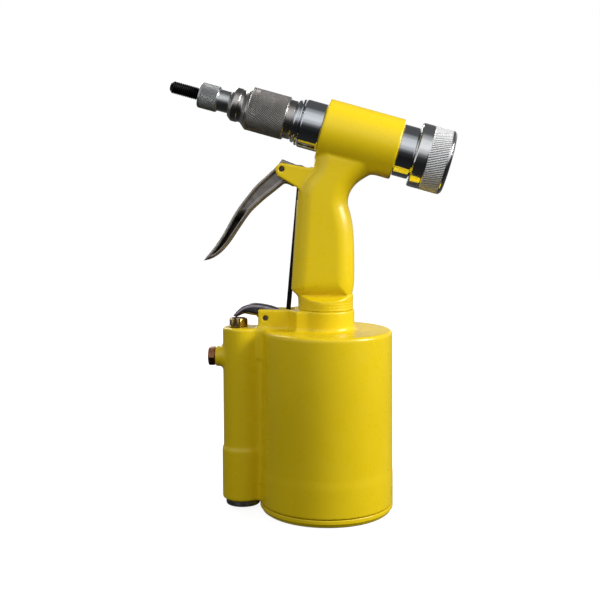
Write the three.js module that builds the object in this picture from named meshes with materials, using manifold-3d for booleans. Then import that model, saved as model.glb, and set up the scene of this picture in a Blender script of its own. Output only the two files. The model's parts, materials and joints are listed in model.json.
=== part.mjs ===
// Pneumatic-hydraulic rivet nut gun: an air cylinder in the base drives a ram up the grip, the oil above
// the ram pushes a piston in the tilted head, and that piston pulls the threaded mandrel back.
// Units are millimetres, +Z is up, the nose points to -X, and the centre of the base rests on the origin.

import * as THREE from 'three';
import { mergeVertices } from 'three/addons/utils/BufferGeometryUtils.js';
import Module from 'manifold-3d';

const wasm = await Module();
wasm.setup();

// ---- Driving dimensions --------------------------------------------------------------------------------

const GAP = 0.3;                       // play left between pieces that touch

const CYLINDER_R = 41.3;               // air cylinder, outside, at its top
const CYLINDER_FOOT_R = 43.0;          // the casting's draft makes the foot a little wider
const CYLINDER_BORE_R = 37.3;
const CYLINDER_TOP = 117;
const CYLINDER_CEILING = 108.6;        // underside of the cylinder's top wall
const COVER_THICK = 5.4;               // base cover, as seen from outside
const SPIGOT_TOP = 10;                 // top of the part of the cover that enters the bore

const COLLAR_X = -0.9;                 // the neck stands a little forward of the cylinder's axis
const COLLAR_R = 18.3;
const COLLAR_TOP = 130;
const NECK_R = 17.5;
const NECK_SPIGOT_R = 15;
const GRIP_HALF = 13.5;                // half the thickness of the grip

const HOUSING_X = -54.3;               // upright valve housing, cast on the side of the cylinder
const HOUSING_R = 12.3;
const HOUSING_FOOT_R = 13.2;
const HOUSING_TOP = 118;
const HOUSING_BOTTOM = 6.3;
const VALVE_X = -56.6;
const VALVE_BORE_R = 6.8;
const INLET_Z = 99;
const INLET_FACE_X = -71.2;            // face of the casting's inlet boss
const NUT_TOP = 123.7;

const BARREL_TILT = THREE.MathUtils.degToRad(15.46);
const BARREL_Z = 242.1;                // height at which the barrel's axis crosses the cylinder's axis
const BARREL_R = 19;
const BARREL_BORE_R = 14.2;
const BARREL_FRONT = -2.8;             // along the barrel's axis, rearward from the cylinder's axis
const BARREL_REAR = 45.2;

const TRIGGER_PIVOT = [-28, 218];      // X and Z of the cross pins
const ROD_TOP = [-16.8, 217];
const ROCKER_PIVOT = [-38.6, 124.7];
const ROD_BOTTOM = [-25.2, 123];
const PIN_R = 1.45;
const PIN_HOLE_R = 1.9;
const EAR_GAP = 5.6;                   // half the gap between the two trigger ears
const EAR_HALF = 9.8;
const BRACKET_HALF = 8;
const BRACKET_SLOT = 4.2;

// ---- Materials -----------------------------------------------------------------------------------------

const material = (color, roughness, metalness) =>
  new THREE.MeshStandardMaterial({ color, roughness, metalness, flatShading: true });

const YELLOW_PAINT = material(0xe3c21c, 0.32, 0.0);
const CHROME = material(0xd9dadc, 0.12, 1.0);
const STEEL = material(0xa9a8a6, 0.35, 1.0);
const DARK_STEEL = material(0x6d6660, 0.45, 1.0);
const BLACK_STEEL = material(0x1b1b1d, 0.5, 0.8);
const CAST_STEEL = material(0x7d746c, 0.6, 0.9);
const BRASS = material(0xb08a3e, 0.3, 1.0);
const BRONZE = material(0x9a5b35, 0.4, 1.0);
const ALUMINIUM = material(0xb9bbbd, 0.4, 1.0);
const RUBBER = material(0x161616, 0.8, 0.0);

// ---- Solids --------------------------------------------------------------------------------------------

// A manifold solid from a closed geometry: shared corners merged, collapsed triangles at poles dropped.
function toSolid(geometry) {
  const bare = geometry.clone();
  bare.deleteAttribute('normal');
  bare.deleteAttribute('uv');
  const merged = mergeVertices(bare, 1e-4);
  const corners = merged.index.array;
  const triVerts = [];
  for (let i = 0; i < corners.length; i += 3) {
    const [a, b, c] = [corners[i], corners[i + 1], corners[i + 2]];
    if (a !== b && b !== c && c !== a) triVerts.push(a, b, c);
  }
  const vertProperties = new Float32Array(merged.attributes.position.array);
  return new wasm.Manifold(new wasm.Mesh({ numProp: 3, vertProperties, triVerts: new Uint32Array(triVerts) }));
}

function toGeometry(body) {
  const mesh = body.getMesh();
  const geometry = new THREE.BufferGeometry();
  geometry.setAttribute('position', new THREE.BufferAttribute(mesh.vertProperties, 3));
  geometry.setIndex(new THREE.BufferAttribute(mesh.triVerts, 1));
  return geometry;
}

const join = (...pieces) => toGeometry(pieces.map(toSolid).reduce((whole, piece) => whole.add(piece)));

const cut = (base, ...tools) =>
  toGeometry(tools.map(toSolid).reduce((whole, tool) => whole.subtract(tool), toSolid(base)));

// A body of revolution about Z, from [radius, height] pairs. It closes on the axis or on its first point.
function turned(profile, sides = 24) {
  const points = profile.map(([radius, height]) => new THREE.Vector2(radius, height));
  const closesOnAxis = points[0].x === 0 && points.at(-1).x === 0;
  if (!closesOnAxis) points.push(points[0].clone());
  if (THREE.ShapeUtils.area(points) < 0) points.reverse();
  return toGeometry(toSolid(new THREE.LatheGeometry(points, sides).rotateX(Math.PI / 2)));
}

const cylinder = (radius, from, to, sides = 20) =>
  turned([[0, from], [radius, from], [radius, to], [0, to]], sides);

const ring = (inner, outer, from, to, sides = 20) =>
  turned([[inner, from], [outer, from], [outer, to], [inner, to]], sides);

// A straight hexagon about Z, measured across its flats.
const hexagon = (acrossFlats, from, to) => cylinder(acrossFlats / Math.sqrt(3), from, to, 6);

// A cylinder that lies along X or along Y, centred on the other two values.
const alongX = (radius, from, to, y, z, sides = 16) =>
  cylinder(radius, from, to, sides).rotateY(Math.PI / 2).translate(0, y, z);

const alongY = (radius, from, to, x, z, sides = 12) =>
  cylinder(radius, from, to, sides).rotateX(-Math.PI / 2).translate(x, 0, z);

const block = ([x0, x1], [y0, y1], [z0, z1]) =>
  new THREE.BoxGeometry(x1 - x0, y1 - y0, z1 - z0).translate((x0 + x1) / 2, (y0 + y1) / 2, (z0 + z1) / 2);

// A side outline of [x, z] pairs, given thickness across Y, with its two side edges rounded over on request.
function plate(outline, yFrom, yTo, rounding = 0) {
  const shape = new THREE.Shape(outline.map(([x, z]) => new THREE.Vector2(x, z)));
  const geometry = new THREE.ExtrudeGeometry(shape, {
    depth: yTo - yFrom - 2 * rounding,
    bevelEnabled: rounding > 0,
    bevelSize: rounding,
    bevelThickness: rounding,
    bevelOffset: -rounding,
    bevelSegments: 2,
  });
  return geometry.rotateX(Math.PI / 2).translate(0, yTo - rounding, 0);
}

// Points along a smooth curve through the given [x, z] pairs.
function smooth(through, count) {
  const curve = new THREE.SplineCurve(through.map(([x, z]) => new THREE.Vector2(x, z)));
  return curve.getPoints(count).map((point) => [point.x, point.y]);
}

// An arc of [x, z] pairs about a centre, between two angles in degrees.
function arc([x, z], radius, fromDegrees, toDegrees, steps) {
  return Array.from({ length: steps + 1 }, (_, i) => {
    const angle = THREE.MathUtils.degToRad(fromDegrees + ((toDegrees - fromDegrees) * i) / steps);
    return [x + radius * Math.cos(angle), z + radius * Math.sin(angle)];
  });
}

class Helix extends THREE.Curve {
  constructor(radius, from, to, turns) {
    super();
    Object.assign(this, { radius, from, to, turns });
  }

  getPoint(t, target = new THREE.Vector3()) {
    const angle = 2 * Math.PI * this.turns * t;
    const height = this.from + (this.to - this.from) * t;
    return target.set(this.radius * Math.cos(angle), this.radius * Math.sin(angle), height);
  }
}

// An open-ended coil spring of round wire about Z.
function spring(meanRadius, wireRadius, from, to, turns) {
  const section = new THREE.Shape().absarc(0, 0, wireRadius, 0, 2 * Math.PI, false);
  const path = new Helix(meanRadius, from + wireRadius, to - wireRadius, turns);
  const wire = { extrudePath: path, steps: turns * 8, curveSegments: 3, bevelEnabled: false };
  return new THREE.ExtrudeGeometry(section, wire);
}

// ---- Air cylinder and base -----------------------------------------------------------------------------

function cylinderBody() {
  const barrel = turned([
    [CYLINDER_BORE_R, COVER_THICK + 0.5], [CYLINDER_FOOT_R - 0.3, COVER_THICK + 0.5],
    [CYLINDER_FOOT_R - 0.1, 26.4], [CYLINDER_FOOT_R - 0.5, 27.4],
    [CYLINDER_R, CYLINDER_TOP - 4], [CYLINDER_R - 0.8, CYLINDER_TOP - 1.6], [CYLINDER_R - 2.2, CYLINDER_TOP - 0.4],
    [CYLINDER_R - 4, CYLINDER_TOP], [NECK_SPIGOT_R + GAP, CYLINDER_TOP],
    [NECK_SPIGOT_R + GAP, CYLINDER_CEILING], [CYLINDER_BORE_R, CYLINDER_CEILING],
  ], 36);
  const collar = turned([
    [0, CYLINDER_TOP - 2], [COLLAR_R + 0.2, CYLINDER_TOP - 2], [COLLAR_R, COLLAR_TOP - 0.7],
    [COLLAR_R - 0.7, COLLAR_TOP], [0, COLLAR_TOP],
  ], 28).translate(COLLAR_X, 0, 0);
  const housing = turned([
    [0, HOUSING_BOTTOM], [HOUSING_FOOT_R - 1.2, HOUSING_BOTTOM], [HOUSING_FOOT_R - 0.4, HOUSING_BOTTOM + 0.8],
    [HOUSING_FOOT_R, HOUSING_BOTTOM + 2.4], [HOUSING_FOOT_R, 39], [HOUSING_R, 42],
    [HOUSING_R, HOUSING_TOP - 1], [HOUSING_R - 1, HOUSING_TOP], [0, HOUSING_TOP],
  ], 24).translate(HOUSING_X, 0, 0);
  const web = block([HOUSING_X, -38.4], [-9, 9], [HOUSING_BOTTOM + 0.5, HOUSING_TOP - 0.6]);
  const bracket = block([-43.2, -24.7], [-BRACKET_HALF, BRACKET_HALF], [CYLINDER_TOP - 2, COLLAR_TOP]);
  const bracketRoot = plate([
    [-26, -8], [-24.8, -8], [-23.6, -8.6], [-18.7, -15.3], [-8, -15.3],
    [-8, 15.3], [-18.7, 15.3], [-23.6, 8.6], [-24.8, 8], [-26, 8],
  ], CYLINDER_TOP - 2, COLLAR_TOP - 0.5).rotateX(Math.PI / 2);
  const boss = alongX(6.5, INLET_FACE_X, HOUSING_X, 0, INLET_Z, 20);

  const [pinX, pinZ] = ROCKER_PIVOT;
  return cut(
    join(barrel, collar, housing, web, bracket, bracketRoot, boss),
    cylinder(NECK_SPIGOT_R + GAP, CYLINDER_CEILING - 1, COLLAR_TOP + 1, 28),
    cylinder(CYLINDER_BORE_R, COVER_THICK, CYLINDER_CEILING, 36),
    cylinder(CYLINDER_FOOT_R + GAP, 0, COVER_THICK + 0.5, 36),
    block([-45, -20.6], [-BRACKET_SLOT, BRACKET_SLOT], [CYLINDER_TOP + 1.2, COLLAR_TOP + 1]),
    cylinder(8.9, HOUSING_BOTTOM - 1, 9.3).translate(VALVE_X + 2.3, 0, 0),
    cylinder(VALVE_BORE_R, 9, 108).translate(VALVE_X, 0, 0),
    cylinder(5.1, 107, HOUSING_TOP + 1).translate(VALVE_X, 0, 0),
    alongX(4.9, INLET_FACE_X - 1, VALVE_X, 0, INLET_Z),
    alongX(1.5, VALVE_X, -CYLINDER_BORE_R + 2, 0, 12, 12),
    alongY(PIN_R + GAP, -BRACKET_HALF - 1, BRACKET_HALF + 1, pinX, pinZ),
  );
}

// The cover closes the cylinder from below and is what the gun stands on.
const baseCover = () => turned([
  [0, 0], [CYLINDER_FOOT_R - 2.4, 0], [CYLINDER_FOOT_R - 0.7, 0.8], [CYLINDER_FOOT_R - 0.1, 2.4],
  [CYLINDER_FOOT_R - 0.1, COVER_THICK], [36.8, COVER_THICK], [36.8, 6.8], [34.4, 6.8], [34.4, 9],
  [36.8, 9], [36.8, SPIGOT_TOP], [0, SPIGOT_TOP],
], 36);

const coverSeal = () => ring(34.7, 37, 7.1, 8.7, 32);
const pistonBumper = () => ring(12, 20, SPIGOT_TOP + GAP, 12.6);

const airPiston = () => turned([
  [4.9, 15.5], [30, 15.5], [30, 14], [36.8, 14], [36.8, 17.4], [34, 17.4], [34, 20.6], [36.8, 20.6],
  [36.8, 24], [4.9, 24],
], 32);
const airPistonSeal = () => ring(34.3, 37, 17.7, 20.3, 32);

const pistonNut = () => cut(hexagon(13, 13.2, 15.2), cylinder(3.3, 12, 16, 16));

const ram = () => turned([
  [0, 13], [3, 13], [3, 15.3], [4.6, 15.3], [4.6, 24.3], [6, 24.3], [6, 27], [4.6, 27], [4.6, 126], [4, 127], [0, 127],
], 16);

const ramGland = () => turned([
  [4.95, 104], [9, 104], [9, 109], [10.3, 109.5], [10.3, 118], [4.95, 118],
]);
const ramPacking = () => ring(4.9, 8, 118.4, 121.7);
const hydraulicTube = () => ring(5.4, 8, 122, 204);

// ---- Valve ---------------------------------------------------------------------------------------------

const atValve = (geometry) => geometry.translate(VALVE_X, 0, 0);

const valveTopNut = () => atValve(cut(
  join(hexagon(10.8, HOUSING_TOP + GAP, NUT_TOP), cylinder(4.8, 112, HOUSING_TOP + 1)),
  cylinder(4.6, NUT_TOP - 4.2, NUT_TOP + 1),
  cylinder(2.15, 111, NUT_TOP, 16),
));

const valveStem = () => atValve(turned([
  [0, 37], [1.8, 37], [1.8, 40], [5, 40], [5, 46], [1.8, 46], [1.8, 60],
  [5, 60], [5, 61.4], [3.4, 61.4], [3.4, 63.6], [5, 63.6], [5, 65], [1.8, 65], [1.8, 88],
  [5, 88], [5, 89.4], [3.4, 89.4], [3.4, 91.6], [5, 91.6], [5, 93], [1.8, 93], [1.8, NUT_TOP - 0.4], [0, NUT_TOP - 0.4],
], 12));
const valveSeal = (from) => atValve(ring(3.6, 5.2, from, from + 1.6));

const valveSleeve = () => atValve(cut(
  ring(5.45, 6.5, 44, 107.4),
  alongX(2.4, -8, 8, 0, INLET_Z, 12),
  alongX(2, -8, 8, 0, 76, 12),
  alongX(2, -8, 8, 0, 52, 12),
));
const valveSpring = () => atValve(spring(4, 0.55, 9.4, 39.7, 6));

const valveBottomPlug = () => cut(
  turned([
    [0, 2.2], [10, 2.2], [11, 3.2], [11, HOUSING_BOTTOM - GAP], [8.6, HOUSING_BOTTOM - GAP], [8.6, 9], [0, 9],
  ]),
  hexagon(6, 2, 5),
).translate(VALVE_X + 2.3, 0, 0);

const inletBushing = () => cut(
  join(hexagon(11.2, INLET_FACE_X - 4.7, INLET_FACE_X - GAP), cylinder(4.6, INLET_FACE_X - 1, INLET_FACE_X + 4.2)),
  cylinder(3.3, INLET_FACE_X - 6, INLET_FACE_X + 6),
).rotateY(Math.PI / 2).translate(0, 0, INLET_Z);
const inletFilter = () => alongX(4.5, INLET_FACE_X + 4.5, INLET_FACE_X + 6.5, 0, INLET_Z);

// ---- Trigger, pull rod and rocker ----------------------------------------------------------------------

function triggerLever() {
  const front = smooth([
    [-28.2, 224.1], [-39.4, 212.8], [-49.8, 201.9], [-60.3, 186.9], [-70.8, 169.7], [-78.2, 160.6],
  ], 12);
  const back = smooth([
    [-78, 160.2], [-72.4, 162.1], [-61.9, 171.8], [-53, 184.9], [-41, 198.2], [-29.9, 206.9], [-24, 208.9],
  ], 12);
  const tail = arc(ROD_TOP, 3.5, -75, 80, 5);
  const outline = [...front, ...back, ...tail, [-19.6, 220.7]];
  const pocket = [
    ...smooth([[-36, 212], [-50.5, 198], [-60.5, 183.3], [-70, 168]], 6),
    ...smooth([[-67.6, 167.6], [-60.2, 173.9], [-51, 187.4], [-38, 203]], 6),
  ];
  const [pivotX, pivotZ] = TRIGGER_PIVOT;
  const [rodX, rodZ] = ROD_TOP;
  return cut(
    plate(outline, -5.2, 5.2),
    plate(pocket, 1.8, 6),
    plate(pocket, -6, -1.8),
    block([-22.8, -12], [-1.9, 1.9], [204, 224]),
    alongY(PIN_HOLE_R, -7, 7, pivotX, pivotZ),
    alongY(PIN_R + GAP, -7, 7, rodX, rodZ),
  );
}

const crossPin = ([x, z], half) => alongY(PIN_R, -half, half, x, z);

// The pull rod: a round bar with a flat eye at each end.
function pullRod() {
  const [topX, topZ] = ROD_TOP;
  const [bottomX, bottomZ] = ROD_BOTTOM;
  const length = Math.hypot(topX - bottomX, topZ - bottomZ);
  const slant = Math.atan2(topX - bottomX, topZ - bottomZ);
  const bar = cylinder(1.5, 2.4, length - 2.4, 12).rotateY(slant).translate(bottomX, 0, bottomZ);
  const eyes = [ROD_TOP, ROD_BOTTOM].map(([x, z]) => alongY(3, -1.6, 1.6, x, z));
  const holes = [ROD_TOP, ROD_BOTTOM].map(([x, z]) => alongY(PIN_HOLE_R, -3, 3, x, z));
  return cut(join(bar, ...eyes), ...holes);
}

function rockerLever() {
  const top = smooth([
    [-60.2, 125.2], [-56.6, 129.3], [-52.4, 132.2], [-45.9, 133.4], [-36.8, 132.2], [-29.5, 129.6],
  ], 12);
  const end = arc(ROD_BOTTOM, 3.3, 60, -80, 6);
  const outline = [...top, ...end, [-34, 121.2], [-42, 121.8], [-45, 125.5], [-52.6, 126.6], [-55.6, 125.3], [-58, 124.1]];
  const [pivotX, pivotZ] = ROCKER_PIVOT;
  const [rodX, rodZ] = ROD_BOTTOM;
  return cut(
    plate(outline, -3.7, 3.7),
    block([-62, -51], [2.1, 5], [122, 134]),
    block([-62, -51], [-5, -2.1], [122, 134]),
    block([-29.6, -20], [-1.9, 1.9], [118, 134]),
    alongY(PIN_HOLE_R, -5, 5, pivotX, pivotZ),
    alongY(PIN_R + GAP, -5, 5, rodX, rodZ),
  );
}

// ---- Grip and head casting -----------------------------------------------------------------------------

// Turns a piece built along Z into the barrel's own axis: its Z runs rearward and its X points down.
const atBarrel = (geometry) => geometry.rotateY(Math.PI / 2 + BARREL_TILT).translate(0, 0, BARREL_Z);

function gripAndHead() {
  const barrel = atBarrel(turned([
    [0, BARREL_FRONT], [BARREL_R - 1.4, BARREL_FRONT], [BARREL_R, BARREL_FRONT + 1.4],
    [BARREL_R, BARREL_REAR - 1.4], [BARREL_R - 1.4, BARREL_REAR], [0, BARREL_REAR],
  ], 32));
  const grip = plate([
    [-18.5, 136], [-22.6, 142.3], [-18.6, 204], [-14.5, 214], [-11, 219.5], [-7.4, 225.4], [-4, 236], [24, 236],
    [18, 216], [13.2, 199], [15.9, 182.6], [16.8, 165], [17, 146], [15.8, 136],
  ], -GRIP_HALF, GRIP_HALF, 4.5);
  const web = plate([
    [8, 190], [14.6, 190], ...smooth([[13.3, 198], [15.4, 205.8], [22.4, 211.6], [34, 213.6]], 6), [34, 224], [8, 224],
  ], -9, 9);
  const neck = turned([
    [0, 113], [NECK_SPIGOT_R, 113], [NECK_SPIGOT_R, COLLAR_TOP + GAP], [NECK_R, COLLAR_TOP + GAP],
    [NECK_R, 136.6], [13.3, 141.2], [0, 141.2],
  ], 28);
  const ears = plate([
    ...arc(TRIGGER_PIVOT, 3.9, 80, 225, 7), [-18.6, 206.6], [-15.5, 203.5], [-10, 203.5], [-10, 219], [-11.8, 218.9],
  ], -EAR_HALF, EAR_HALF);

  const [pivotX, pivotZ] = TRIGGER_PIVOT;
  return cut(
    join(barrel, grip, web, neck, ears),
    plate([[-34, 228], [-34, 200], [-15.4, 200], [-12, 211], [-12, 228]], -EAR_GAP, EAR_GAP),
    plate([[-30, 136], [-21.3, 136], [-14.2, 212], [-30, 212]], -2.4, 2.4),
    atBarrel(cylinder(BARREL_BORE_R, BARREL_FRONT - 1, BARREL_REAR + 1, 28)),
    cylinder(10.6, 112, 118.1, 24),
    cylinder(8.3, 117, 206),
    cylinder(3.6, 205, BARREL_Z, 16),
    alongY(PIN_R + GAP, -EAR_HALF - 1, EAR_HALF + 1, pivotX, pivotZ),
    atFillHole(cylinder(2.7, 12, 20, 16)),
    atFillHole(cylinder(5.4, 17.8, 20, 20)),
  );
}

// The oil filling hole enters the far side of the barrel just ahead of the piston.
const FILL_S = 6.5;
const atFillHole = (geometry) => atBarrel(geometry.rotateX(-Math.PI / 2).translate(0, 0, FILL_S));

const oilFillScrew = () => atFillHole(cut(
  join(cylinder(2.4, 14.7, 20, 16), cylinder(4.4, 19.1, 22)),
  hexagon(3, 20, 23),
));
const oilFillWasher = () => atFillHole(ring(2.7, 4.6, 18.1, 18.8, 20));

// ---- Head: these are built along the barrel's axis, heights running rearward ---------------------------

const frontHead = () => atBarrel(turned([
  [7.5, -34], [9.8, -34], [10.3, -33.5], [10.3, -16.4], [14.4, -16.4], [15, -15.8], [15, -3.1],
  [13.9, -3.1], [13.9, 1.2], [7.5, 1.2], [7.5, -9], [9.2, -9], [9.2, -12], [7.5, -12],
]));
const drawbarSeal = () => atBarrel(ring(7.3, 8.9, -11.8, -9.2));

const lockRing = () => atBarrel(turned([
  [10.6, -21.3], [12.9, -21.3], [14, -20.4], [14.5, -19], [14.3, -17.4], [13.8, -16.8], [10.6, -16.8],
]));

const noseSleeve = () => atBarrel(turned([
  [6.2, -63], [8.3, -63], [10.5, -60.3], [10.5, -56.6], [10, -55.6], [10, -54.2], [12.4, -51.6], [13.2, -50.4],
  [13.5, -49.6], [13.5, -27.2], [12.8, -26.4], [12.1, -26], [12.1, -21.7], [10.6, -21.7], [10.6, -36], [8.4, -36],
  [8.4, -56], [6.2, -56],
]));

const anvil = () => atBarrel(turned([
  [4.35, -83], [7, -83], [8, -81.8], [8, -71.4], [7.2, -70.4], [6.65, -70.2], [6.65, -63.3],
  [5.9, -63.3], [5.9, -56.6], [4.35, -56.6],
]));

const mandrel = () => atBarrel(turned([
  [0, -101.8], [2.6, -101.8], [3.9, -100.4], [3.9, -44], [0, -44],
], 16));

const drawbar = () => atBarrel(turned([
  [4.25, -50], [7.1, -50], [7.1, 10.2], [5, 10.2], [5, 29], [0, 29], [0, -43], [4.25, -43],
]));

const headPiston = () => atBarrel(turned([
  [5.3, 10.5], [13.8, 10.5], [13.8, 16], [11.6, 16], [11.6, 19], [13.8, 19], [13.8, 24.5], [5.3, 24.5],
]));
const headPistonSeal = () => atBarrel(ring(11.9, 14, 16.3, 18.7));
const drawbarNut = () => atBarrel(cut(hexagon(13, 24.8, 29.3), cylinder(5.3, 24, 30, 20)));
const headReturnSpring = () => atBarrel(spring(11.2, 0.8, 24.7, 37.6, 4));

const rearSpacer = () => atBarrel(turned([
  [5.6, 37.8], [13.8, 37.8], [13.8, 45.5], [15.6, 45.5], [16.15, 46], [16.15, 53.8], [15.6, 54.4],
  [13.9, 54.4], [13.9, 68], [5.6, 68],
]));
const strokeStop = () => atBarrel(turned([
  [0, 37], [5.1, 37], [5.1, 70.3], [8, 70.3], [8, 73.5], [0, 73.5],
]));
const rearCap = () => atBarrel(turned([
  [14.4, 56], [18.4, 56], [20.1, 57.7], [20.1, 76.2], [18.2, 78.2], [12, 78.6], [0, 78.6],
  [0, 74.5], [8.6, 74.5], [8.6, 69], [14.4, 69],
], 28));

// ---- Scene ---------------------------------------------------------------------------------------------

const gun = new THREE.Group();

function add(name, geometry, look) {
  const mesh = new THREE.Mesh(geometry, look);
  mesh.name = name;
  gun.add(mesh);
}

add('cylinder_body', cylinderBody(), YELLOW_PAINT);
add('base_cover', baseCover(), YELLOW_PAINT);
add('base_cover_seal', coverSeal(), RUBBER);
add('piston_bumper', pistonBumper(), RUBBER);
add('air_piston', airPiston(), ALUMINIUM);
add('air_piston_seal', airPistonSeal(), RUBBER);
add('piston_nut', pistonNut(), STEEL);
add('ram', ram(), CHROME);
add('ram_gland', ramGland(), BRASS);
add('ram_packing', ramPacking(), RUBBER);
add('hydraulic_tube', hydraulicTube(), STEEL);

add('valve_top_nut', valveTopNut(), BRASS);
add('valve_stem', valveStem(), STEEL);
add('valve_seal_lower', valveSeal(61.7), RUBBER);
add('valve_seal_upper', valveSeal(89.7), RUBBER);
add('valve_sleeve', valveSleeve(), BRASS);
add('valve_spring', valveSpring(), STEEL);
add('valve_bottom_plug', valveBottomPlug(), DARK_STEEL);
add('inlet_bushing', inletBushing(), BRONZE);
add('inlet_filter', inletFilter(), BRONZE);

add('trigger_lever', triggerLever(), CAST_STEEL);
add('trigger_pivot_pin', crossPin(TRIGGER_PIVOT, EAR_HALF - 0.2), DARK_STEEL);
add('rod_top_pin', crossPin(ROD_TOP, 5.1), DARK_STEEL);
add('pull_rod', pullRod(), BLACK_STEEL);
add('rod_bottom_pin', crossPin(ROD_BOTTOM, 3.6), DARK_STEEL);
add('rocker_lever', rockerLever(), STEEL);
add('rocker_pivot_pin', crossPin(ROCKER_PIVOT, BRACKET_HALF - 0.2), DARK_STEEL);

add('grip_and_head', gripAndHead(), YELLOW_PAINT);
add('oil_fill_screw', oilFillScrew(), STEEL);
add('oil_fill_washer', oilFillWasher(), BRASS);
add('front_head', frontHead(), CHROME);
add('drawbar_seal', drawbarSeal(), RUBBER);
add('lock_ring', lockRing(), CHROME);
add('nose_sleeve', noseSleeve(), DARK_STEEL);
add('anvil', anvil(), STEEL);
add('mandrel', mandrel(), BLACK_STEEL);
add('drawbar', drawbar(), STEEL);
add('head_piston', headPiston(), STEEL);
add('head_piston_seal', headPistonSeal(), RUBBER);
add('drawbar_nut', drawbarNut(), STEEL);
add('head_return_spring', headReturnSpring(), STEEL);
add('rear_spacer', rearSpacer(), CHROME);
add('stroke_stop', strokeStop(), STEEL);
add('rear_cap', rearCap(), STEEL);

export default gun;
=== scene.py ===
import json
import math

import bmesh
import bpy
import numpy as np
from mathutils import Matrix, Vector


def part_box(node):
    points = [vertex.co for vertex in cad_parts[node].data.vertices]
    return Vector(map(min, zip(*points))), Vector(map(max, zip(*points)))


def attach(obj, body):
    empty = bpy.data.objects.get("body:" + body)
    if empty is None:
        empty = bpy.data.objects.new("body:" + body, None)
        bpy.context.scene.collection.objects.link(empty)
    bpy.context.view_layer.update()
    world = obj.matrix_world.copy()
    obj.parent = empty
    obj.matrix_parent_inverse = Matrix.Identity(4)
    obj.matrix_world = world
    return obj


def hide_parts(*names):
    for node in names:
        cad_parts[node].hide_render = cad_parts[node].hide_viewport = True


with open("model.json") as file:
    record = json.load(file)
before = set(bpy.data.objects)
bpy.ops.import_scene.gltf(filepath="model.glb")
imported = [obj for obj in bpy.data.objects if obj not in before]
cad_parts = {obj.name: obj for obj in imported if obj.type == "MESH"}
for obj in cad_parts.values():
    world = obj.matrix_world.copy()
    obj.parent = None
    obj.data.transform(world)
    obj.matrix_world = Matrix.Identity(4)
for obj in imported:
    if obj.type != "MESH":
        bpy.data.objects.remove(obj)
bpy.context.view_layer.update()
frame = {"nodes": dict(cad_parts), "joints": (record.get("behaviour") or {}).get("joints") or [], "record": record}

MM = 0.001


# ---- Cylinder casting ----------------------------------------------------------------------------------
# The air cylinder, its upright valve housing, the inlet boss, the rocker bracket and the collar under the
# neck are one aluminium casting, sprayed with gloss yellow enamel. It is described as a distance field,
# so that every corner gets the soft radius that a sand casting has, and then skinned.

def node_mm(node):
    """Lowest and highest corners of a CAD node, in millimetres."""
    low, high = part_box(node)
    return np.array(low) / MM, np.array(high) / MM


def blend_out(a, b, k):
    """Union of two distances, with a fillet of about k where they meet."""
    h = np.clip(1 - np.abs(a - b) / k, 0, 1)
    return np.minimum(a, b) - h * h * k / 4


def blend_in(a, b, k):
    """Overlap of two distances, with an edge rounded by about k. A cut-away is the overlap with -b."""
    h = np.clip(1 - np.abs(a - b) / k, 0, 1)
    return np.maximum(a, b) + h * h * k / 4


def tube_field(across, height, radius, low, high, rounding):
    """Distance to an upright cylinder from the distance to its axis and the height."""
    return blend_in(across - radius, np.maximum(low - height, height - high), rounding)


def box_field(p, centre, half, rounding):
    """Distance to a box with rounded edges."""
    q = [np.abs(p[i] - centre[i]) - half[i] + rounding for i in range(3)]
    outside = np.sqrt(sum(np.maximum(c, 0) ** 2 for c in q))
    return outside + np.minimum(np.maximum(np.maximum(q[0], q[1]), q[2]), 0) - rounding


def outline_field(x, z, points):
    """Signed distance to a closed outline in the plane, negative inside."""
    nearest = np.full(np.shape(x), 1e9)
    inside = np.zeros(np.shape(x), bool)
    for (ax, az), (bx, bz) in zip(points, points[1:] + points[:1]):
        ex, ez = bx - ax, bz - az
        t = np.clip(((x - ax) * ex + (z - az) * ez) / (ex * ex + ez * ez), 0, 1)
        nearest = np.minimum(nearest, (x - ax - t * ex) ** 2 + (z - az - t * ez) ** 2)
        crosses = (az > z) != (bz > z)
        inside ^= crosses & (x < ax + (z - az) * ex / (ez if ez else 1e-9))
    return np.where(inside, -1, 1) * np.sqrt(nearest)


def stations(*spans):
    """Grid lines through spans of (start, end, step)."""
    lines = [np.arange(start, end - step / 2, step) for start, end, step in spans]
    return np.concatenate(lines + [[spans[-1][1]]])


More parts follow.
